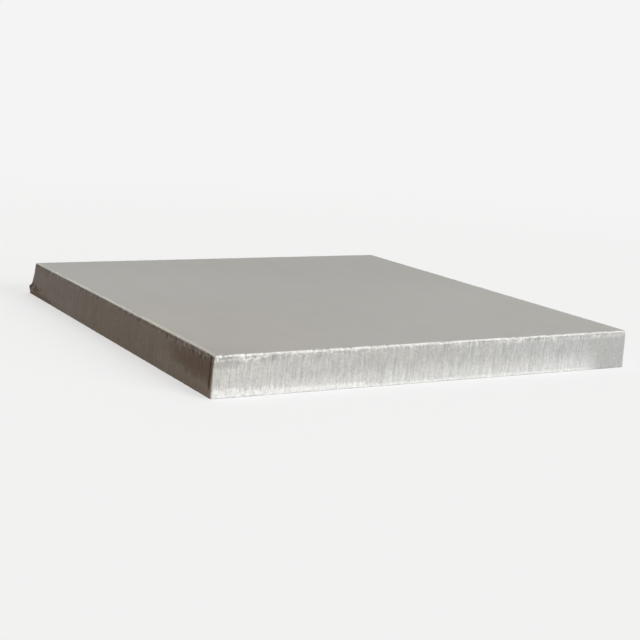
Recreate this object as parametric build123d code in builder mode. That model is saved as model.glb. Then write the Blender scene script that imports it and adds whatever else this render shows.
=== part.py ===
"""Bare board of pressed microporous insulation, sawn on all four edges and lying flat.

The board is one block of pressed mineral powder with a smooth pressed face above and below.
Its four edges are saw cuts, scored by shallow marks that run from face to face and lean a little.
The saw leaned on the left edge, so the foot of that edge stands out.
At the back left corner the board broke before the saw was through. It left a spur of board that
tapers off along the back edge, with a crumb at its shoulder.
The sharp edges of the pressed faces are worn, and flaked around the front left corner.

X runs to the right along the front edge, Y to the back and Z up.
The origin is the middle of the lower pressed face, without the left edge's lean and the spur.
Lengths are in millimetres and angles in degrees.
"""

import os
from math import sin

from build123d import *

# Pressed board
BOARD_WIDTH = 300.0  # left to right, across the upper face
BOARD_DEPTH = 330.0  # front to back
BOARD_THICKNESS = 25.0
EDGE_WEAR = 0.6  # bevel worn along the edges of both pressed faces
CORNER_WEAR = 0.8  # radius worn on the two upright corners at the right
FLAKED_CORNER_WEAR = 1.5  # radius worn on the front left one, between the flakes
BROKEN_CORNER_WEAR = 2.6  # radius worn on the back left one, above the spur

# Saw cut edges
LEFT_CUT_LEAN = 1.2  # how far the foot of the left edge stands out
MARK_PITCH = 3.2  # average distance from one saw mark to the next
UNEVEN_SHARE = 0.45  # by how much of itself that distance comes and goes
MARK_RHYTHM = 2.4  # turn of the sine that varies it, in radians for each mark
MARK_WIDTH = 0.9
MARK_DEPTH = 0.3
MARK_ANGLE = 4.0  # from upright, in degrees
MARK_END = 1.6  # what a mark leaves plain above and below it
MARK_MARGIN = 4.5  # what the marks leave plain at each corner

# Spur at the back left corner, measured where it is fullest, at the left edge
SPUR_FOOT = 8.6  # how far its foot stands out behind the board
SPUR_SHOULDER = 5.5  # height of the upright part above the foot
SPUR_WAIST = 4.5  # how far it stands out where it starts to lean to the board
SPUR_WAIST_HEIGHT = 9.0
SPUR_START = 1.0  # from the upper face down to where it starts
SPUR_ROOT = 3.0  # how deep it is rooted in the board
SPUR_LENGTH = 48.0  # along the back edge
SPUR_SHARES = ((0.0, 1.0), (0.4, 0.62), (1.0, 0.24))  # of its length, and of its section there

# Crumb that clings to the spur's shoulder
CRUMB_RADIUS = 2.4
CRUMB_TIP = 0.4
CRUMB_LENGTH = 3.1
CRUMB_ROOT = 2.0  # how deep it is rooted in the shoulder

# Flakes broken from the two upper edges that meet at the front left corner
FLAKE_COUNT = 9  # along each edge
FLAKE_RADIUS = 3.2
FLAKE_BITE = 0.75  # depth of the flake next to the corner
FLAKE_FADE = 0.86  # each flake's depth as a share of the one before it
FLAKE_START = 3.6  # from the corner to the first flake
FLAKE_PITCH = 5.4
FLAKE_DROP = 1.4  # from the upper face down to a flake's middle

HALF_WIDTH = BOARD_WIDTH / 2
HALF_DEPTH = BOARD_DEPTH / 2
FOOT_LEFT = -HALF_WIDTH - LEFT_CUT_LEAN
LEFT_EDGE_HEIGHT = (BOARD_THICKNESS**2 + LEFT_CUT_LEAN**2) ** 0.5

# The cut edges, as planes that look outwards. Each has its own X along the edge and its own Y up
# the edge, and its origin is the middle of the edge's foot.
FRONT_CUT = Plane(origin=(0, -HALF_DEPTH, 0), x_dir=(1, 0, 0), z_dir=(0, -1, 0))
RIGHT_CUT = Plane(origin=(HALF_WIDTH, 0, 0), x_dir=(0, 1, 0), z_dir=(1, 0, 0))
BACK_CUT = Plane(origin=(0, HALF_DEPTH, 0), x_dir=(-1, 0, 0), z_dir=(0, 1, 0))
LEFT_CUT = Plane(
    origin=(FOOT_LEFT, 0, 0), x_dir=(0, -1, 0), z_dir=(-BOARD_THICKNESS, 0, LEFT_CUT_LEAN)
)


def mark_places(cut, height, start, end):
    """Places of the saw marks on a cut edge, unevenly spaced from start to end along it."""
    places = []
    along = start + MARK_MARGIN
    while along < end - MARK_MARGIN:
        places.append(cut.location * Location((along, height / 2, 0), (0, 0, -MARK_ANGLE)))
        along += MARK_PITCH * (1 + UNEVEN_SHARE * sin(MARK_RHYTHM * len(places)))
    return places


def flake_places(corner, along, outwards):
    """Middles of the flakes on an upper edge, which bite less the further they are from the corner."""
    places = []
    for i in range(FLAKE_COUNT):
        bite = FLAKE_BITE * FLAKE_FADE**i
        distance = FLAKE_START + FLAKE_PITCH * i
        middle = corner + along * distance + outwards * (FLAKE_RADIUS - bite)
        places.append(middle - Vector(0, 0, FLAKE_DROP))
    return places


# One saw mark: a shallow V that stands upright in a cut edge and opens on outside it
with BuildPart() as saw_mark:
    with BuildSketch(Plane.XZ):
        with BuildLine():
            Polyline(
                (0, -MARK_DEPTH), (MARK_WIDTH, MARK_DEPTH), (-MARK_WIDTH, MARK_DEPTH), close=True
            )
        make_face()
    extrude(amount=BOARD_THICKNESS / 2 - MARK_END, both=True)

# The spur: its broken section shrinks along the back edge until the board swallows it
spur_root = HALF_DEPTH - SPUR_ROOT
with BuildPart() as spur:
    for along, share in SPUR_SHARES:
        with BuildSketch(Plane.YZ.offset(FOOT_LEFT + SPUR_LENGTH * along)):
            with BuildLine():
                Polyline(
                    (spur_root, 0),
                    (spur_root + (SPUR_ROOT + SPUR_FOOT) * share, 0),
                    (spur_root + (SPUR_ROOT + SPUR_FOOT) * share, SPUR_SHOULDER * share),
                    (spur_root + (SPUR_ROOT + SPUR_WAIST) * share, SPUR_WAIST_HEIGHT * share),
                    (spur_root, (BOARD_THICKNESS - SPUR_START) * share),
                    close=True,
                )
            make_face()
    loft(ruled=True)
    split(bisect_by=LEFT_CUT, keep=Keep.BOTTOM)

# The crumb: a blunt peak that points away from the corner
with BuildPart() as crumb:
    shoulder_left = FOOT_LEFT + LEFT_CUT_LEAN * SPUR_SHOULDER / BOARD_THICKNESS
    shoulder = Plane(
        origin=(shoulder_left, HALF_DEPTH + SPUR_FOOT, SPUR_SHOULDER), z_dir=(-1, 1, 0)
    )
    with Locations(shoulder.offset(-CRUMB_ROOT).location):
        Cone(
            CRUMB_RADIUS,
            CRUMB_TIP,
            CRUMB_LENGTH,
            align=(Align.CENTER, Align.CENTER, Align.MIN),
        )

with BuildPart() as insulation_board:
    # The pressed block, whose section leans on the left
    with BuildSketch(Plane.XZ):
        with BuildLine():
            Polyline(
                (FOOT_LEFT, 0),
                (HALF_WIDTH, 0),
                (HALF_WIDTH, BOARD_THICKNESS),
                (-HALF_WIDTH, BOARD_THICKNESS),
                close=True,
            )
        make_face()
    extrude(amount=HALF_DEPTH, both=True)

    # Worn corners, and then the worn edges around both pressed faces
    pressed_faces = insulation_board.faces().sort_by(Axis.Z)
    outlines = pressed_faces[0].edges() + pressed_faces[-1].edges()
    corners = (insulation_board.edges() - outlines).sort_by(Axis.X)
    flaked_corner, broken_corner = corners[:2].sort_by(Axis.Y)
    fillet(corners[2:], radius=CORNER_WEAR)
    fillet(flaked_corner, radius=FLAKED_CORNER_WEAR)
    fillet(broken_corner, radius=BROKEN_CORNER_WEAR)
    pressed_faces = insulation_board.faces().sort_by(Axis.Z)
    chamfer(pressed_faces[0].edges() + pressed_faces[-1].edges(), length=EDGE_WEAR)

    # What the broken cut left standing
    add(spur.part)
    add(crumb.part)

    # Saw marks on the four cut edges, but not on the spur
    marks = mark_places(FRONT_CUT, BOARD_THICKNESS, -HALF_WIDTH, HALF_WIDTH)
    marks += mark_places(RIGHT_CUT, BOARD_THICKNESS, -HALF_DEPTH, HALF_DEPTH)
    marks += mark_places(BACK_CUT, BOARD_THICKNESS, -HALF_WIDTH, HALF_WIDTH - SPUR_LENGTH)
    marks += mark_places(LEFT_CUT, LEFT_EDGE_HEIGHT, -HALF_DEPTH, HALF_DEPTH)
    with Locations(*marks):
        add(saw_mark.part, mode=Mode.SUBTRACT)

    # Flakes around the front left corner
    flakes_start = Vector(-HALF_WIDTH, -HALF_DEPTH, BOARD_THICKNESS)
    flakes = flake_places(flakes_start, Vector(1, 0, 0), Vector(0, -1, 0))
    flakes += flake_places(flakes_start, Vector(0, 1, 0), Vector(-1, 0, 0))
    with Locations(*flakes):
        Sphere(FLAKE_RADIUS, mode=Mode.SUBTRACT)

insulation_board.part.label = "insulation_board"

os.makedirs("parts", exist_ok=True)
export_step(insulation_board.part, "parts/insulation_board.step")
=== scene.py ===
"""Looks of a bare microporous insulation board that lies on a pale floor.

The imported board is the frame. One surface, worked out here with numpy, stands for it: the pressed
block with its saw marks, its worn and flaked edges and its broken corner. Lengths are in metres.
"""

import math
from functools import reduce

import bpy
import numpy as np
from mathutils import Matrix, Vector


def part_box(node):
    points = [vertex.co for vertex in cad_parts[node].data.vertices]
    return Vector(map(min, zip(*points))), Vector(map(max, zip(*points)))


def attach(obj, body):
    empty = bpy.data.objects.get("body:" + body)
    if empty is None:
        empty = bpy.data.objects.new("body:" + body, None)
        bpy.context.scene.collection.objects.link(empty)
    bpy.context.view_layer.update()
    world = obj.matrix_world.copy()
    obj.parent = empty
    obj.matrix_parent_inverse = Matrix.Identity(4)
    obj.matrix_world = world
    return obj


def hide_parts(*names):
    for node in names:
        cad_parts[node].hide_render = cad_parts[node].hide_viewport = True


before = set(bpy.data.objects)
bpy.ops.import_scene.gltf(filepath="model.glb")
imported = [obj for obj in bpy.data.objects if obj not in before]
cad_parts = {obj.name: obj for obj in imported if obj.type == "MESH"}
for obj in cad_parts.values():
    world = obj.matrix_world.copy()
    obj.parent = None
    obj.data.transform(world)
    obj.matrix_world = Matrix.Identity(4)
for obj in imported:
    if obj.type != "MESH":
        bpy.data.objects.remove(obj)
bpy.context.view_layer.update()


# The pressed block. Fumed silica and opacifier are pressed dry into a rigid board, whose two
# pressed faces stay smooth and whose four edges are sawn afterwards. The outline runs from the
# front left corner to the right, round the right, back and left edges, and back to that corner.

mm = 0.001
low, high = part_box("insulation_board")
half_width = high.x
half_depth = -low.y
thickness = high.z
corner_wear = 0.8 * mm

# Numbers 0 to 3 are the front, right, back and left edge.
edge_lengths = np.array((half_width, half_depth, half_width, half_depth)) * 2
edge_starts = np.array(
    (
        (-half_width, -half_depth),
        (half_width, -half_depth),
        (half_width, half_depth),
        (-half_width, half_depth),
    )
)
edge_ways = np.array(((1, 0), (0, 1), (-1, 0), (0, -1)))
edge_fronts = np.array(((0, -1), (1, 0), (0, 1), (-1, 0)))


# The saw marks. Each edge was cut by one pass of a saw, whose teeth scored marks from face to face,
# a few millimetres apart and leaning a little. The columns of the surface follow them, with one at
# each mark's bottom and one at each of its two rims, and stand closer on the front and the left.

mark_pitch = 3.2 * mm
mark_uneven = 0.45
mark_rhythm = 2.4
mark_width = 0.9 * mm
mark_depths = (0.03 * mm, 0.2 * mm)
mark_lean = math.tan(math.radians(4.0))
mark_margin = 4.5 * mm
deep_marks = np.array((6, 36, 49, 57, 98, 156, 221, 263)) * mm
deep_mark_depth = 0.3 * mm
column_steps = (0.56 * mm, 0.8 * mm, 0.8 * mm, 0.56 * mm)
corner_columns = corner_wear * np.array((0, 0.5, 1, 1.5, 2, 3))


def mark_places(length):
    """Distances of the marks along an edge. Each step is the pitch, lengthened or shortened by a
    sine of how many marks came before."""
    places = [mark_margin]
    while places[-1] < length - mark_margin:
        uneven = 1 + mark_uneven * math.sin(mark_rhythm * len(places))
        places.append(places[-1] + mark_pitch * uneven)
    return np.array(places[:-1])


def edge_columns(length, marks, step):
    """Distances of the columns along an edge: close together at its corners, at the rims and bottom
    of each mark, and evenly between these, no further apart than the step."""
    grooves = marks[:, None] + mark_width / 2 * np.array((-1, 0, 1))
    knots = np.concatenate((corner_columns, grooves.ravel(), length - corner_columns[::-1]))
    counts = np.ceil(np.diff(knots) / step)
    numbers = np.concatenate(([0], np.cumsum(counts)))
    return np.interp(np.arange(numbers[-1]), numbers, knots)


def groove_depths(along, marks, depths):
    """Depth of a mark at each distance along the edge: full at its bottom and none at its rims."""
    nearest = np.searchsorted((marks[1:] + marks[:-1]) / 2, along)
    return depths[nearest] * np.clip(1 - np.abs(along - marks[nearest]) / (mark_width / 2), 0, 1)


random = np.random.default_rng(5)
edge_numbers = []
column_places = []
column_grooves = []
for number, (length, step) in enumerate(zip(edge_lengths, column_steps)):
    marks = mark_places(length)
    depths = mark_depths[0] + (mark_depths[1] - mark_depths[0]) * random.random(len(marks)) ** 2
    if number == 0:
        # The marks nearest to those places of the front edge are the deepest of all.
        depths[np.abs(marks[:, None] - deep_marks).argmin(0)] = deep_mark_depth
    along = edge_columns(length, marks, step)
    edge_numbers.append(np.full(len(along), number))
    column_places.append(along)
    column_grooves.append(groove_depths(along, marks, depths))
edge_number = np.concatenate(edge_numbers)
column_place = np.concatenate(column_places)
column_groove = np.concatenate(column_grooves)
edge_length = edge_lengths[edge_number]
round_the_board = column_place + (np.cumsum(edge_lengths) - edge_lengths)[edge_number]
on_front, on_back, on_left = (edge_number == number for number in (0, 2, 3))


def by_edge(front, right, back, left):
    """The value of the edge that each column lies on."""
    return np.array((front, right, back, left))[edge_number]


# The section that is carried round the outline. Its rows run from inside the upper face to its
# edge, over the worn edge, down the cut, and over the lower edge to inside the lower face. Dry
# pressed powder doesn't hold a sharp edge, so both are rounded, more in some places than in others.

edge_wear = 0.75 * mm
edge_wear_uneven = 0.3 * mm
foot_wear = 0.45 * mm
foot_wear_uneven = 0.15 * mm
face_insets = np.array((40, 12, 6, 3.6, 2.4, 1.5)) * mm
lower_face_insets = np.array((2, 12, 40)) * mm
wear_turns = np.radians((0, 30, 60, 90))

# Rows down the cut, as shares of its height, closest in the torn band under the upper edge
cut_shares = np.concatenate((np.linspace(0.015, 0.25, 12), np.linspace(0.31, 0.98, 10)))


def smooth(value, start, end):
    """0 before start and 1 beyond end, with an S curve between them: 3 t squared less 2 t cubed."""
    t = np.clip((value - start) / (end - start), 0, 1)
    return t * t * (3 - 2 * t)


def lumps(points, size, seed):
    """Value noise from -1 to 1: random numbers at the corners of cubes of that size, blended with
    an S curve along each side of the cube that a point lies in. It repeats after many cubes."""
    repeat = 64
    corners = np.random.default_rng(seed).uniform(-1, 1, (repeat, repeat, repeat))
    cell = np.floor(points / size).astype(int)
    share = smooth(points / size - cell, 0, 1)
    total = np.zeros(points.shape[:-1])
    for corner in np.ndindex(2, 2, 2):
        weight = np.where(corner, share, 1 - share).prod(-1)
        x, y, z = np.moveaxis((cell + corner) % repeat, -1, 0)
        total += weight * corners[x, y, z]
    return total


# Places for lumps that differ round the board, but are the same all the way down an edge
round_points = round_the_board[:, None] * (1, 0, 0)
wear_lumps = 0.65 * lumps(round_points, 1.7 * mm, 1) + 0.5 * lumps(round_points, 6.5 * mm, 2)
wear = edge_wear + edge_wear_uneven * wear_lumps
wear = wear * by_edge(front=1.2, right=0.8, back=0.8, left=0.6)
lower_wear = foot_wear + foot_wear_uneven * lumps(round_points, 3.1 * mm, 3)


def section_rows():
    """Inset from the outline, drop below the upper face and turn of each row of the section, the
    turn being 0 where the surface looks up, a quarter where it looks out and a half where it looks
    down. A worn edge is a quarter of a circle."""
    flat = np.ones_like(wear)
    inset = [flat * value for value in face_insets]
    drop = [flat * 0] * len(face_insets)
    turn = [0.0] * len(face_insets)
    for angle in wear_turns:
        inset.append(wear * (1 - math.sin(angle)))
        drop.append(wear * (1 - math.cos(angle)))
        turn.append(angle)
    for share in cut_shares:
        inset.append(flat * 0)
        drop.append(wear + (thickness - wear - lower_wear) * share)
        turn.append(math.pi / 2)
    for angle in wear_turns[::-1]:
        inset.append(lower_wear * (1 - math.sin(angle)))
        drop.append(thickness - lower_wear * (1 - math.cos(angle)))
        turn.append(math.pi - angle)
    for value in lower_face_insets:
        inset.append(flat * value)
        drop.append(flat * thickness)
        turn.append(math.pi)
    return np.array(inset), np.array(drop), np.array(turn)[:, None]


inset, drop, turn = section_rows()
height = thickness - drop
on_cut = np.sin(turn) * np.ones_like(drop)


def outline(place, radius_at_start, radius_at_end):
    """Points and outward directions of the outline. A corner is an eighth of a circle on each of
    its edges, so a point nearer to it than the radius turns by half a right angle at most."""
    way = edge_ways[edge_number]
    front = edge_fronts[edge_number]
    left_over = edge_length - place
    start = np.clip(1 - place / radius_at_start, 0, 1) * math.pi / 4
    end = np.clip(1 - left_over / radius_at_end, 0, 1) * math.pi / 4
    along = np.where(
        place < radius_at_start,
        radius_at_start * (1 - np.sin(start)),
        np.where(left_over < radius_at_end, edge_length - radius_at_end * (1 - np.sin(end)), place),
    )
    back = radius_at_start * (1 - np.cos(start)) + radius_at_end * (1 - np.cos(end))
    turned = (end - start)[..., None]
    points = edge_starts[edge_number] + way * along[..., None] - front * back[..., None]
    return points, front * np.cos(turned) + way * np.sin(turned)


# The columns lean with the marks, but stand upright at the corners.
off_corner = smooth(np.minimum(column_place, edge_length - column_place), 3 * mm, 9 * mm)
leaning_place = column_place + mark_lean * (height - thickness / 2) * off_corner

# The flaked corner is lumpy. The broken one is worn round at the top and stays sharp further down.
flaked_corner_wear = 1.5 * mm
broken_corner_wear = 2.6 * mm
sharp_corner_wear = 0.5 * mm
sharp_corner_drop = 6.5 * mm
roundness = np.clip(1 - drop / sharp_corner_drop, 0, 1)
broken_radius = sharp_corner_wear + (broken_corner_wear - sharp_corner_wear) * roundness
flaked_corner_lumps = lumps(height[..., None] * np.ones(3), 3 * mm, 24)
flaked_radius = flaked_corner_wear * (1 + 0.35 * flaked_corner_lumps)
radius_at_start = np.select((on_front, on_left), (flaked_radius, broken_radius), corner_wear)
radius_at_end = np.select((on_left, on_back), (flaked_radius, broken_radius), corner_wear)
plan, front = outline(leaning_place, radius_at_start, radius_at_end)
plan = plan * (1 - inset[..., None] / np.array((half_width, half_depth)))

# The saw leaned on the left edge, so the foot of that edge stands out, and the ends of the front
# and back edges follow it.
left_cut_lean = 1.2 * mm
lean_here = smooth(-plan[..., 0], half_width - 12 * mm, half_width - 1 * mm)
plan[..., 0] -= left_cut_lean * drop / thickness * lean_here


# The broken corner. At the back left the board broke before the saw was through, and left a spur
# that stands out behind the board. It is fullest at the left edge and tapers off along the back.

spur_length = 48 * mm
spur_heights = np.array((0, 5.5, 9.0, 24.0)) * mm
spur_reaches = np.array((8.6, 8.8, 4.5, -3.0)) * mm
spur_root = 3.0 * mm
spur_taper = ((0, 0.4, 1), (1, 0.62, 0.24))


def spur_reach(x, z):
    """How far the spur stands out behind the board: its section at the left edge, shrunk towards
    its root by a share that falls off along the back edge."""
    share = np.interp((x + half_width + left_cut_lean) / spur_length, *spur_taper)
    section = np.interp(z / share, spur_heights, spur_reaches)
    return np.clip(share * (section + spur_root) - spur_root, 0, None)


reach = spur_reach(plan[..., 0], height)
follow = smooth(plan[..., 1], half_depth - 26 * mm, half_depth) * smooth(inset, 20 * mm, 0)
plan[..., 1] += reach * follow
points = np.concatenate((plan, height[..., None]), -1)
broken = smooth(reach, 0.1 * mm, 1.2 * mm) * on_back * on_cut


# Wear. Pressed powder crumbles where the saw leaves it. Under the upper edges it tore lumps and
# short notches out of the cut, flakes broke off around the front left corner, and the spur is
# crumbly, with a crumb that clings to its shoulder. Along the foot of the front edge a band is
# marked out for painted reflected light, in which the saw marks fade.

# What is missing lies straight inwards from the surface, but along a slant at the sharp edges.
slant_start = 4 * mm
slant_full = 1 * mm
near_arris = smooth(np.maximum(drop, inset), slant_start, slant_full)
near_foot = smooth(np.maximum(height, inset), slant_start, slant_full)
bite_turn = turn + near_arris * (math.pi / 4 - turn) + near_foot * (3 * math.pi / 4 - turn)
facing = np.concatenate((front * np.sin(bite_turn)[..., None], np.cos(bite_turn)[..., None]), -1)

# Parts of the edges: around the flaked corner, the right half and the right third of the front
far_away = 1.0
from_corner = np.select((on_front, on_left), (column_place, edge_length - column_place), far_away)
near_flakes = smooth(from_corner, 60 * mm, 4 * mm)
far_right = smooth(column_place, 140 * mm, 180 * mm) * on_front
at_right = smooth(column_place, 200 * mm, 240 * mm) * on_front

# The torn band under the upper edges, taller and deeper around the flaked corner
torn_band = 4.4 * mm
torn_band_uneven = 1.8 * mm
torn_depth = 0.34 * mm
torn_corner_share = 0.85
torn = by_edge(front=1, right=0.8, back=0.8, left=0.75) * (1 + torn_corner_share * near_flakes)
torn = torn * (0.8 + 0.1 * smooth(column_place, 120 * mm, 180 * mm))
band_depth = torn_band + torn_band_uneven * (lumps(round_points, 13 * mm, 12) + near_flakes)
band = smooth(drop, band_depth, 0.3 * band_depth) * smooth(inset, 1.5 * mm, 0)
band = band * (1 - 0.5 * far_right * smooth(drop, 2.4 * mm, 1.4 * mm))
clods = 0.45 * lumps(points * (1, 1, 1.25), 2.6 * mm, 13) + 0.65 * lumps(points, 1.15 * mm, 14)
pits = torn * band * np.clip(0.05 + 1.5 * clods, 0, 1.2)

# The ragged line of the upper edges
ragged_depth = 1.05 * mm
ragged_corner_depth = 0.75 * mm
rags = 0.8 * lumps(round_points, 2.3 * mm, 26) + 0.6 * lumps(round_points, 5.5 * mm, 27)
rags = np.clip(rags, 0, 0.8) * by_edge(front=1, right=0.15, back=0.1, left=0.7)
at_arris = smooth(drop, 1.6 * mm, 0.5 * mm) * smooth(inset, 2.6 * mm, 1.4 * mm)
ragged = (ragged_depth + ragged_corner_depth * near_flakes) * rags * at_arris

# Short notches that hang down from the upper edges
notch_length = 6.5 * mm
notch_depth = 0.3 * mm
notches = np.clip(2.2 * lumps(round_points, 0.95 * mm, 15) - 0.25, 0, 1)
notch_ends = np.clip(0.55 + 0.6 * lumps(round_points, 11 * mm, 16), 0.1, 1)
notched = smooth(notch_length * notches * notch_ends - drop, 0, 1.4 * mm)
notched = notched * smooth(drop, 0.7 * mm, 1.2 * mm)
notched = notched * by_edge(front=0.45, right=0.5, back=0.5, left=1)


def bites(points, middles, radii, depths):
    """Depth of the material that is missing at each point. Each bite is a bowl with a flat floor:
    one less the squared share of the distance from its middle, doubled and cut off at one."""
    total = np.zeros(points.shape[:-1])
    for middle, radius, depth in zip(middles, radii, depths):
        squared = ((points - middle) ** 2).sum(-1) / radius**2
        total = np.maximum(total, depth * np.clip(2 * (1 - squared), 0, 1))
    return total


def chips(number, upper_share, radii, depths, margin, seed):
    """Middles, radii and depths of chips strewn at random along the four edges of the pressed
    faces. Small ones are far commoner, and a few lie further from the face."""
    random = np.random.default_rng(seed)
    edge = random.choice(4, number, p=edge_lengths / edge_lengths.sum())
    along = random.uniform(margin, edge_lengths[edge] - margin)
    radius = radii[0] + (radii[1] - radii[0]) * random.random(number) ** 2
    from_face = radius * random.uniform(0.1, 1.2, number) + 2.2 * mm * random.random(number) ** 3
    upper = random.random(number) < upper_share
    middle = np.empty((number, 3))
    middle[:, :2] = edge_starts[edge] + edge_ways[edge] * along[:, None]
    middle[:, 2] = np.where(upper, thickness - from_face, from_face)
    depth = depths[0] + (depths[1] - depths[0]) * radius / radii[1]
    return middle, radius, depth * random.uniform(0.5, 1, number)


def flakes(number, start, pitch, drop, radius, bite, fade, seed):
    """Middles, radii and depths of the flakes on the two upper edges that meet at the front left
    corner. Each bites less than the one before it, and place and size are off at random."""
    random = np.random.default_rng(seed)
    order = np.tile(np.arange(number), 2)
    along = start + pitch * (order + random.uniform(-0.35, 0.35, 2 * number))
    ways = np.repeat(((1, 0, 0), (0, 1, 0)), number, axis=0)
    middle = np.array((-half_width, -half_depth, thickness)) + ways * along[:, None]
    middle[:, 2] -= drop * random.uniform(0.5, 1.6, 2 * number)
    radius = radius * random.uniform(0.55, 1.1, 2 * number)
    return middle, radius, bite * fade**order * random.uniform(0.6, 1, 2 * number)


def strongest(*values):
    """The largest of the values at each point."""
    return reduce(np.maximum, values)


def distances(points, middle, factors):
    """Distances of the points from the middle, each part multiplied by its own factor first."""
    return np.linalg.norm((points - middle) * factors, axis=-1)


rough_points = points + 0.8 * mm * lumps(points, 1.2 * mm, 4)[..., None]
strewn = chips(
    number=240,
    upper_share=0.75,
    radii=(0.7 * mm, 1.8 * mm),
    depths=(0.1 * mm, 0.3 * mm),
    margin=3 * mm,
    seed=6,
)
flaked = flakes(
    number=9,
    start=3.6 * mm,
    pitch=5.4 * mm,
    drop=1.4 * mm,
    radius=1.8 * mm,
    bite=0.55 * mm,
    fade=0.88,
    seed=17,
)
chipped = strongest(bites(rough_points, *strewn), bites(rough_points, *flaked))
chipped = chipped * smooth(inset, 1.7 * mm, 1 * mm)

# The band of painted reflected light along the foot of the front edge, tallest at the flaked
# corner. It ends short of the right corner, and the other edges have little of it.
reflected_band_places = np.array((0, 60, 120, 280)) * mm
reflected_band_heights = np.array((4.7, 4.1, 2.2, 1.7)) * mm
other_reflected_band_height = 1.0 * mm
reflection_share = np.where(on_front, smooth(column_place, 282 * mm, 268 * mm), 0.35)
reflected_band_top = np.interp(column_place, reflected_band_places, reflected_band_heights)
reflected_band_top = np.where(on_front, reflected_band_top, other_reflected_band_height)
foot_lumps = 0.4 * mm * lumps(points, 6 * mm, 19) + 0.2 * mm * lumps(points, 1.6 * mm, 20)
reflected_band = smooth(height + foot_lumps, reflected_band_top + 0.3 * mm, reflected_band_top - 0.3 * mm)
reflected_band = reflected_band * (1 - 0.6 * near_flakes * np.clip(lumps(points, 1.9 * mm, 31), 0, 1))
reflected_band = reflected_band * (0.93 + 0.07 * near_flakes * smooth(height, 3 * mm, 2 * mm))
reflected_band = reflected_band * reflection_share

# The saw marks, the torn faces of the spur, and the fine roughness of all that was cut
groove = column_groove * smooth(np.minimum(drop, height), 0, 2 * mm) * on_cut * (1 - broken)
# The saw marks fade in the band of painted reflected light at the foot.
groove = groove * (0.75 + 0.35 * lumps(points, 9 * mm, 7)) * (1 - 0.7 * reflected_band)
crumbling = 0.45 * mm * lumps(points, 1.5 * mm, 8) + 0.3 * mm * lumps(points, 4 * mm, 9)
roughness = 0.045 * mm * lumps(points, 1.3 * mm, 10) + 0.03 * mm * lumps(points, 3 * mm, 18)
missing = strongest(torn_depth * pits, ragged, notch_depth * notched, chipped)
missing = missing + groove + crumbling * broken + roughness * on_cut
points = points - facing * missing[..., None]

# The crumb on the spur's shoulder
crumb_inset = 1.3 * mm
crumb_radius = 2.9 * mm
crumb_height = 1.5 * mm
crumb_way = np.array((-1, 1, 0)) / math.sqrt(2)
crumb_middle = np.array((low.x + crumb_inset, high.y - crumb_inset, 6.0 * mm))
crumb = np.clip(1 - distances(points, crumb_middle, (1, 1, 0.8)) / crumb_radius, 0, 1)
points = points + crumb_way * (crumb_height * crumb)[..., None]
points = np.clip(points, low, high)


# How wear shows, and where light and shade are painted. Worn edges and chips are fresh powder, torn
# lumps are fresh powder with a painted highlight, and the crumbs on the left edge are painted
# highlights and painted shadows. Pits, notches and saw marks get painted shade, and the foot of the
# cut edges gets painted reflected light. The left edge is stained brown at both ends, darker under
# its upper edge, and has painted shade with a brown tint. Each share says how much of a look a
# point has.


def plateau(value, start, full, fading, end):
    """1 from full to fading and 0 before start and beyond end, with an S curve on both sides."""
    return smooth(value, start, full) * smooth(value, end, fading)


# Fresh powder along the worn edges, whose upper edge on the front shows as a beaded line. The
# upper face is paler in a thin line along the left edge, which is seen at a slant.
worn_places = np.array((20, 50, 150, 175)) * mm
worn_drops = np.array((1.3, 2.1, 2.0, 1.4)) * mm
worn_drop = np.interp(column_place, worn_places, worn_drops)
second_row = smooth(from_corner, 36 * mm, 18 * mm) * on_front * on_cut
worn_line = smooth(drop, worn_drop, 0.5 * worn_drop) * smooth(inset, 1.1 * mm, 0.3 * mm)
worn_line = worn_line * (0.88 + 0.12 * far_right + 0.2 * second_row)
worn_line = worn_line * by_edge(front=1, right=0.65, back=0.6, left=1)
upright_line = smooth(from_corner, 2.4 * mm, 1 * mm) * on_cut
left_line = smooth(inset, 3.2 * mm, 1.7 * mm) * smooth(turn, 0.5, 0.1) * on_left
left_line = left_line * np.clip(0.8 + 0.5 * lumps(round_points, 7 * mm, 28), 0, 1)
left_line = left_line * (0.8 + 0.2 * smooth(column_place, 100 * mm, 200 * mm))
beads = np.clip(0.8 + 0.3 * lumps(points, 1.5 * mm, 22), 0.5, 1)
fresh_and_lit = np.where(
    on_left,
    strongest(0.9 * left_line, 0.5 * upright_line),
    strongest(worn_line, 0.6 * upright_line) * beads,
)

# Fresh powder in chips, and fresh powder with a painted highlight on torn lumps
torn_lumps = torn * band * np.clip(0.15 - 1.1 * clods, 0, 0.75)
fresh_and_lit = strongest(fresh_and_lit, torn_lumps, 0.35 * smooth(chipped, 0.05 * mm, 0.25 * mm) * (1 - pits))

# Beads in a row under the upper edge: on the right half of the front, and next to the flaked corner
bead_row = plateau(drop, 1.2 * mm, 2.2 * mm, 3 * mm, 5 * mm) * far_right * on_cut
bead_row = bead_row * np.clip(0.8 + 0.8 * lumps(points, 1.9 * mm, 29), 0, 1.4)
far_beads = plateau(column_place, 248 * mm, 260 * mm, 288 * mm, 298 * mm)
row_drop = drop + 0.5 * mm * lumps(points, 2.8 * mm, 32)
corner_beads = second_row * plateau(row_drop, 2.2 * mm, 2.7 * mm, 3.2 * mm, 4 * mm)
corner_beads = corner_beads * np.clip(0.7 + 1.2 * lumps(points, 1.7 * mm, 30), 0, 1.4)

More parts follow.
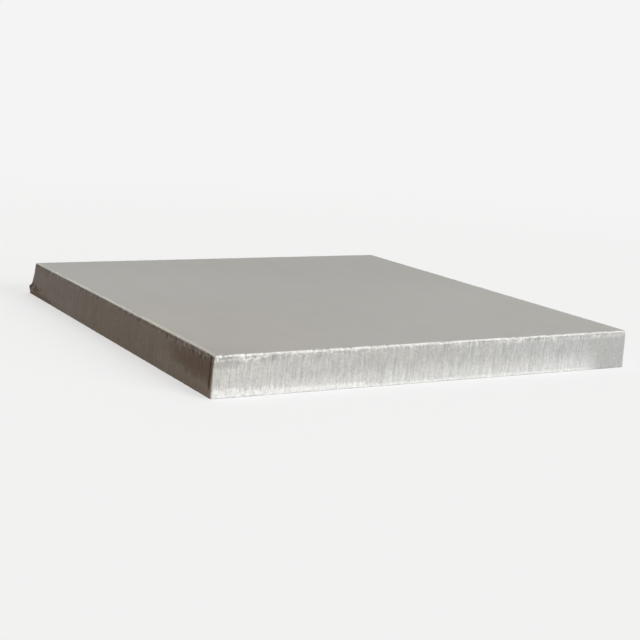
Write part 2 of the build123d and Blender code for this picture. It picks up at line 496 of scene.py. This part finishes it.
# Crumbs on the left edge near the flaked corner, painted only: painted highlights on them and
# painted shadows beside them
crumbly = smooth(from_corner, 72 * mm, 22 * mm) * on_left
crumbly = crumbly * plateau(drop, 0.8 * mm, 1.6 * mm, 3.4 * mm, 5.4 * mm)
crumb_lumps = 4 * lumps(points * (1, 0.8, 1), 2.2 * mm, 34)
crumbs_lit = crumbly * np.clip(crumb_lumps - 0.2, 0, 1) * on_cut
crumbs_shaded = crumbly * np.clip(-crumb_lumps - 0.2, 0, 1)
fresh_and_lit = fresh_and_lit + (0.2 + 0.15 * far_beads) * bead_row + 0.26 * corner_beads + 0.85 * crumbs_lit
fresh_and_lit = np.clip(fresh_and_lit, 0, 1)

# Painted shade in pits, notches and saw marks, beside the painted crumbs and between the two rows
# of beads. A grey patch beside the flaked corner and the dark line that runs down the left edge
# next to that corner are darker too. The front's right end is smooth and darker, with painted
# shade.
between_rows = second_row * plateau(row_drop, 1.1 * mm, 1.4 * mm, 2.2 * mm, 2.6 * mm)
between_rows = between_rows * np.clip(0.6 + lumps(points, 2.2 * mm, 33), 0, 1)
grey_patch_middle = np.array((-half_width + 8 * mm, -half_depth, thickness - 5.4 * mm))
from_grey_patch = distances(points, grey_patch_middle, (1 / 11, 1 / 11, 1 / 2.6))
from_grey_patch = from_grey_patch + 0.25 * mm * lumps(points, 2.4 * mm, 23)
corner_line_place = 3.2 * mm
from_line = np.abs(edge_length - leaning_place - corner_line_place)
from_line = from_line + 0.5 * mm * lumps(points, 2 * mm, 25)
corner_line = smooth(from_line, 2.2 * mm, 0.7 * mm) * smooth(height, 3 * mm, 8 * mm)
corner_line = corner_line * smooth(drop, 0.3 * mm, 1.2 * mm) * on_left
plain_end = smooth(column_place, 262 * mm, 272 * mm) * on_front
shaded = on_cut * strongest(
    0.42 * pits * on_cut,
    0.8 * notched,
    0.85 * crumbs_shaded,
    0.4 * between_rows,
    0.5 * groove / deep_mark_depth,
    0.3 * smooth(from_grey_patch, 1.15 * mm, 0.7 * mm),
    0.7 * corner_line,
    0.17 * plain_end,
)

# Painted reflected light on the band at the foot, fainter above it and at the left end of the front
reflected_light = (0.45 + 0.05 * at_right) * smooth(height, 15 * mm, 2 * mm) + 0.03 * at_right
left_reflection = 0.18 * smooth(column_place, 110 * mm, 20 * mm) * smooth(drop, 3 * mm, 8 * mm)
reflected_light = strongest(strongest(reflected_light, left_reflection) * reflection_share, reflected_band) * on_cut

# Brown stains on the left edge: round the broken corner, along the foot next to it and in a long
# smudge near the flaked corner. Painted shade with a brown tint lies faintly over all but the back.
# A darker brown line runs under the upper edge, and the dark line lies beside that corner.
foot_left = -half_width - left_cut_lean
back_stain_middle = np.array((foot_left, half_depth + 4 * mm, 6 * mm))
foot_stain_middle = np.array((foot_left, half_depth - 18 * mm, 0))
smudge_middle = np.array((-half_width, -half_depth + 16 * mm, thickness - 9 * mm))
spots = lumps(points, 1.7 * mm, 11) + lumps(points, 5 * mm, 21)
from_back_stain = distances(points, back_stain_middle, (1, 0.2, 1.2)) + 1.6 * mm * spots
from_foot_stain = distances(points, foot_stain_middle, (1, 0.16, 1.3)) + 1.2 * mm * spots
from_smudge = distances(points, smudge_middle, (1, 0.19, 1.1)) + 1.2 * mm * spots
smudged = smooth(from_smudge, 17 * mm, 2 * mm) * (0.35 + 0.65 * smooth(drop, 1 * mm, 4 * mm))
under_line = plateau(drop, 0.3 * mm, 0.9 * mm, 1.8 * mm, 3 * mm) * on_left
under_line = under_line * (0.1 + 0.9 * smooth(column_place, 80 * mm, 230 * mm))
stain_and_shade = strongest(
    (0.75 - 0.8 * spots) * smooth(from_back_stain, 7 * mm, 1 * mm),
    0.6 * smooth(from_foot_stain, 9 * mm, 2 * mm),
    0.7 * smudged,
    # Painted shade with a brown tint, stronger towards the front
    (0.25 + 0.05 * spots) * smooth(column_place, 60 * mm, 160 * mm),
    (0.4 + 0.06 * spots) * under_line,
    0.95 * corner_line,
)
stain_and_shade = np.clip(stain_and_shade, 0, 1) * (on_back | on_left)
stain_and_shade = on_cut * strongest(stain_and_shade, 0.16 * smooth(from_corner, 3 * mm, 0.8 * mm))
line_stain = 0.46 + 0.08 * smooth(column_place, 140 * mm, 240 * mm)
stain_and_shade = strongest(stain_and_shade, line_stain * left_line)

# A faint rusty tint at the foot of the left edge, next to the flaked corner
rusty = 0.22 * smooth(from_corner, 60 * mm, 8 * mm) * smooth(drop, 8 * mm, 19 * mm)
rusty = rusty * on_left * on_cut

# How strongly the saw's fine streaks show
scored = by_edge(front=1.05, right=0.8, back=0.8, left=0.6) * on_cut
scored = scored * (1 + 0.2 * (far_right - at_right) - 0.7 * plain_end)
scored = scored * (1 + far_right * (0.2 * smooth(height, 9 * mm, 14 * mm) - 0.12))
scored = scored * (1 + 0.25 * near_flakes * smooth(height, 9 * mm, 15 * mm))


# The mesh. The columns close on themselves round the board, and a fan closes each pressed face.
# The map holds the distance round the board and the height, so that streaks can follow the marks.


def closed_band(rows, columns):
    """Corners of the four-sided faces between neighbouring rows and columns, as numbers of points
    counted along each row, with the last column joined to the first."""
    row, column = np.mgrid[0 : rows - 1, 0:columns]
    following = (column + 1) % columns
    below = (row + 1) * columns
    return np.stack(
        (row * columns + column, below + column, below + following, row * columns + following), -1
    ).reshape(-1, 4)


def fan(first, middle, columns, downwards):
    """Corners of the triangles between a row and the middle of a pressed face."""
    column = np.arange(columns)
    following = first + (column + 1) % columns
    sides = (following, first + column) if downwards else (first + column, following)
    return np.stack((np.full(columns, middle), *sides), -1)


row_count, column_count = drop.shape
point_count = row_count * column_count
middles = np.array(((0, 0, thickness), (0, 0, 0)))
quads = closed_band(row_count, column_count)
fans = np.concatenate(
    (
        fan(0, point_count, column_count, False),
        fan(point_count - column_count, point_count + 1, column_count, True),
    )
)
mesh = bpy.data.meshes.new("board")
mesh.from_pydata(
    np.concatenate((points.reshape(-1, 3), middles)).tolist(), [], quads.tolist() + fans.tolist()
)
mesh.shade_smooth()

column_of_corner = quads % column_count
last = (column_of_corner[:, 0] == column_count - 1)[:, None]
round_of_corner = round_the_board[column_of_corner] + np.where(
    last & (column_of_corner == 0), edge_lengths.sum(), 0
)
height_of_corner = height.ravel()[quads]
uv = np.zeros((quads.size + fans.size, 2))
uv[: quads.size] = np.stack((round_of_corner, height_of_corner), -1).reshape(-1, 2)
mesh.uv_layers.new(name="cut").data.foreach_set("uv", uv.ravel())

# The two middles of the pressed faces are neither sawn nor worn.
shares = {
    "sawn": on_cut,
    "scored": scored,
    "fresh_and_lit": fresh_and_lit,
    "shaded": shaded,
    "reflected_light": reflected_light,
    "stain_and_shade": stain_and_shade,
    "rusty": rusty,
}
for name, values in shares.items():
    layer = mesh.attributes.new(name, "FLOAT", "POINT")
    layer.data.foreach_set("value", np.append(values.ravel(), (0, 0)))

board = bpy.data.objects.new("board", mesh)
bpy.context.collection.objects.link(board)


# Its finish. The pressed skin is a warm grey, dense and even. The sawn powder under it is paler
# and streaked by the saw, and where an edge has just crumbled it is nearly white. The skin is a
# little warmer, darker or paler in places, and painted shade darkens it towards the back.

skin_colour = (0.446, 0.442, 0.419, 1)
tanned_colour = (0.462, 0.437, 0.408, 1)
sawn_colour = (0.552, 0.540, 0.507, 1)
cool_sawn_colour = (0.537, 0.541, 0.532, 1)
fresh_and_lit_colour = (0.900, 0.890, 0.860, 1)
reflection_colour = (0.912, 0.912, 0.898, 1)
faint_brown_colour = (0.460, 0.430, 0.290, 1)
deep_brown_colour = (0.268, 0.184, 0.118, 1)
rusty_colour = (0.580, 0.410, 0.300, 1)


class Wire:
    """A socket's value in a node tree. Arithmetic on wires adds Math nodes, and node() adds any
    other kind."""

    def __init__(self, tree, socket=None):
        self.tree = tree
        self.socket = socket

    def node(self, kind, settings=(), sockets=(), output=0):
        """Adds a node of that kind, applies its settings, feeds its sockets with values or wires,
        and returns the wire of one of its outputs."""
        node = self.tree.nodes.new("ShaderNode" + kind)
        for name, value in dict(settings).items():
            setattr(node, name, value)
        for name, value in dict(sockets).items():
            if isinstance(value, Wire):
                self.tree.links.new(value.socket, node.inputs[name])
            else:
                node.inputs[name].default_value = value
        return Wire(self.tree, node.outputs[output] if node.outputs else None)

    def math(self, operation, first, second):
        """A Math node on two values or wires."""
        return self.node("Math", {"operation": operation}, {0: first, 1: second})

    def __add__(self, other):
        return self.math("ADD", self, other)

    def __sub__(self, other):
        return self.math("SUBTRACT", self, other)

    def __rsub__(self, other):
        return self.math("SUBTRACT", other, self)

    def __mul__(self, other):
        return self.math("MULTIPLY", self, other)

    __radd__ = __add__
    __rmul__ = __mul__

    def mixed(self, first, second):
        """The two colours mixed, with this wire as the second one's share."""
        return self.node("Mix", {"data_type": "RGBA"}, {0: self, 6: first, 7: second}, 2)

    def faded(self, start, end):
        """0 before start and 1 beyond end, with an S curve between them."""
        sockets = {"Value": self, "From Min": start, "From Max": end}
        return self.node("MapRange", {"interpolation_type": "SMOOTHSTEP"}, sockets)


def new_finish(name):
    """An empty material, and its tree as a wire."""
    material = bpy.data.materials.new(name)
    material.use_nodes = True
    material.node_tree.nodes.clear()
    return material, Wire(material.node_tree)


def share(name):
    """The wire of one of the shares that are stored at the surface's points."""
    return tree.node("Attribute", {"attribute_name": name}, output="Fac")


def noise(vector, scale, detail):
    """Noise around 0, rarely beyond -0.6 and 0.6, with as many lumps in a metre as the scale."""
    sockets = {"Vector": vector, "Scale": scale, "Detail": detail, "Roughness": 0.55}
    return (tree.node("TexNoise", {}, sockets) - 0.5) * 2


def scaled(vector, factors):
    """The vector or colour with each of its parts multiplied by its own factor."""
    return tree.node("VectorMath", {"operation": "MULTIPLY"}, {0: vector, 1: factors})


def patch(operation, vector, start, end):
    """A patch of the upper face with an uneven rim. It fades in from start to end, which are
    distances from a point or lengths along a direction, whichever the operation measures."""
    measured = tree.node("VectorMath", {"operation": operation}, {0: place, 1: vector}, "Value")
    return (measured + mottle * 0.01).faded(start, end)


material, tree = new_finish("pressed_powder")
place = tree.node("TexCoord", output="Object")
rightwards = tree.node("SeparateXYZ", {}, {0: place}, "X") * (1 / half_width)
sawn = share("sawn")
reflection = share("reflected_light")
brown_share = share("stain_and_shade")

# The map of the cut edges, swayed sideways a little, so that no streak is quite straight
cut = tree.node("UVMap", {"uv_map": "cut"})
sway = tree.node("TexNoise", {}, {"Vector": scaled(cut, (24, 60, 0)), "Scale": 1.0}, "Color")
sway_reach = (3.5 * mm, 0, 0)
cut = tree.node("VectorMath", {"operation": "MULTIPLY_ADD"}, {0: sway, 1: sway_reach, 2: cut})

# The grain of the powder, the brushed skin, and the streaks, crumbs and clouds of the cut edges
grain = noise(place, 2600, 2.0)
mottle = noise(place, 55, 3.0)
brushing = noise(scaled(place, (40, 6, 40)), 1, 3.0)
hair_streaks = noise(scaled(cut, (1300, 150, 0)), 1, 2.0)
fine_streaks = noise(scaled(cut, (480, 60, 0)), 1, 2.0)
broad_streaks = noise(scaled(cut, (95, 8, 0)), 1, 2.0)
streaks = hair_streaks + fine_streaks * 1.2 + broad_streaks * (0.4 - rightwards * 0.2)
streaks = streaks * share("scored") * (1 - reflection * 0.35)
crumbs = noise(scaled(place, (1, 1, 1.2)), 620, 3.0) * sawn
clouds = noise(scaled(cut, (30, 60, 0)), 1, 3.0) * sawn
tints = noise(scaled(cut, (70, 45, 0)), 1, 1.0)

# Patches of the upper face: warm and darker near the flaked corner, paler at the front right, and
# a little darker towards the back, which is painted shade
tanned = patch("DISTANCE", (-0.130, -0.095, thickness), 0.11, 0.03)
corner_darkening = patch("DISTANCE", (-half_width, -half_depth, thickness), 0.05, 0.01)
front_right_patch = patch("DOT_PRODUCT", (0.8, -1, 0), 0.0, 0.14)
to_back = patch("DOT_PRODUCT", (0.5, 1, 0), 0.02, 0.13)

skin = tanned.mixed(skin_colour, tanned_colour)
cool = 0.65 + tints + rightwards * 0.6
colour = sawn.mixed(skin, cool.mixed(sawn_colour, cool_sawn_colour))
colour = share("rusty").mixed(colour, rusty_colour)
# Painted reflected light at the foot of the cut edges, strongest on the front
colour = reflection.mixed(colour, reflection_colour)
# Fresh powder, and painted highlights on torn lumps and crumbs
colour = share("fresh_and_lit").mixed(colour, fresh_and_lit_colour)
# Brown stains, and painted shade with a brown tint on the left edge
brown_tint = brown_share.faded(0.22, 0.52).mixed(faint_brown_colour, deep_brown_colour)
colour = brown_share.mixed(colour, brown_tint)

skin_tone = front_right_patch * 0.05 - to_back * 0.045 - corner_darkening * 0.06
tone = 1 + grain * 0.05 + mottle * 0.03 + brushing * 0.035 + skin_tone * (1 - sawn)
tone = tone + streaks * 0.22 + crumbs * 0.24 * (1 + reflection * 0.35)
tone = tone + clouds * (0.055 - rightwards * 0.025)
# The shaded share darkens the colour: painted shade in pits, notches, saw marks and beside crumbs,
# with the grey patch and dark lines.
tone = tone * (1 - share("shaded") * 0.5)
relief = grain * 0.5 + streaks * 1.2 + crumbs * 1.4
bump = tree.node("Bump", {}, {"Height": relief, "Strength": 0.35, "Distance": 0.12 * mm})
surface = tree.node(
    "BsdfPrincipled",
    {},
    {
        "Base Color": scaled(colour, tone),
        "Roughness": 0.74 + sawn * 0.2,
        "Specular IOR Level": 0.35,
        "Normal": bump,
    },
)
tree.node("OutputMaterial", {}, {"Surface": surface})
mesh.materials.append(material)

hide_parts("insulation_board")
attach(board, "root")


# The studio: a pale floor that runs into a background of the same colour, a soft lamp overhead, a
# soft lamp low at the front right, and weak ones at the left and behind. The floor and the
# background only look as pale as they do to the camera, and light the board as a grey room would.

background_colour = (0.905, 0.905, 0.905, 1)
floor_half_size = 12.0
floor_gap = 0.05 * mm
floor_mesh = bpy.data.meshes.new("floor")
floor_corners = np.array(((-1, -1, 0), (1, -1, 0), (1, 1, 0), (-1, 1, 0))) * floor_half_size
floor_corners[:, 2] = -floor_gap
floor_mesh.from_pydata(floor_corners.tolist(), [], [(0, 1, 2, 3)])
floor = bpy.data.objects.new("floor", floor_mesh)
bpy.context.collection.objects.link(floor)


def looked_at(tree):
    """1 where the camera sees a surface, also in a mirror or through glass, and 0 elsewhere."""
    rays = ("Is Camera Ray", "Is Glossy Ray", "Is Transmission Ray")
    camera_ray, mirror_ray, glass_ray = (tree.node("LightPath", output=ray) for ray in rays)
    return camera_ray + mirror_ray + glass_ray


# Around the board the floor glows and also catches shadows. Further off it only glows, exactly as
# pale as the background.
paper_glow = 0.69
paper_colour = (0.334, 0.334, 0.334, 1)
unseen_colour = (0.2, 0.2, 0.2, 1)
floor_material, tree = new_finish("pale_floor")
where = tree.node("TexCoord", output="Object")
from_middle = tree.node("VectorMath", {"operation": "LENGTH"}, {0: where}, "Value")
glow = tree.node("Emission", {}, {"Color": background_colour})
near_glow = tree.node("Emission", {}, {"Color": background_colour, "Strength": paper_glow})
near_paper = tree.node("BsdfDiffuse", {}, {"Color": paper_colour})
near_floor = tree.node("AddShader", {}, {0: near_glow, 1: near_paper})
seen = tree.node("MixShader", {}, {0: from_middle.faded(1.3, 0.45), 1: glow, 2: near_floor})
unseen = tree.node("BsdfDiffuse", {}, {"Color": unseen_colour})
shown = tree.node("MixShader", {}, {0: looked_at(tree), 1: unseen, 2: seen})
tree.node("OutputMaterial", {}, {"Surface": shown})
floor_mesh.materials.append(floor_material)

room_colour = (1, 0.92, 0.82, 1)
room_strength = 0.2
world = bpy.data.worlds.new("studio")
bpy.context.scene.world = world
world.use_nodes = True
world.node_tree.nodes.clear()
tree = Wire(world.node_tree)
room = tree.node("Background", {}, {"Color": room_colour, "Strength": room_strength})
wall = tree.node("Background", {}, {"Color": background_colour, "Strength": 1.0})
sky = tree.node("MixShader", {}, {0: looked_at(tree), 1: room, 2: wall})
tree.node("OutputWorld", {}, {"Surface": sky})


def soft_lamp(name, towards, strength, colour, spread):
    """A wide, even lamp that shines from the given direction, its spread in degrees. At a strength
    of 1, white that faces it renders as white."""
    lamp = bpy.data.lights.new(name, "SUN")
    lamp.energy = strength * math.pi
    lamp.color = colour
    lamp.angle = math.radians(spread)
    holder = bpy.data.objects.new(name, lamp)
    holder.rotation_euler = Vector(towards).to_track_quat("Z", "Y").to_euler()
    bpy.context.collection.objects.link(holder)
    return holder


soft_lamp("overhead", (0.3, -0.15, 1), strength=0.294, colour=(0.91, 0.96, 1), spread=30)
soft_lamp("front", (0.5, -1, 0.35), strength=0.865, colour=(1, 1, 1), spread=35)
soft_lamp("left", (-1, 0.2, 0.25), strength=0.061, colour=(1, 0.5, 0.35), spread=60)

# The lamp behind lights the far side, and must not shine in the upper face towards the camera.
back_lamp = soft_lamp("back", (0.5, 1, 0.25), strength=0.27, colour=(1, 0.98, 0.95), spread=60)
back_lamp.visible_glossy = False

# The camera, fitted to the edges of the board in the photograph: where it stands, and the ways in
# which it looks right, up and back.
camera_place = (-0.464405, -0.841198, 0.192958)
right = Vector((0.8751453, -0.4806356, 0.0557677))
up = Vector((0.0437573, 0.1933987, 0.9801440))
camera = bpy.data.cameras.new("camera")
camera.lens = 76.803
camera.sensor_width = 36
holder = bpy.data.objects.new("camera", camera)
turned = Matrix((right, up, right.cross(up))).transposed().to_4x4()
holder.matrix_world = Matrix.Translation(camera_place) @ turned
bpy.context.collection.objects.link(holder)
bpy.context.scene.camera = holder
bpy.context.scene.view_settings.view_transform = "Standard"
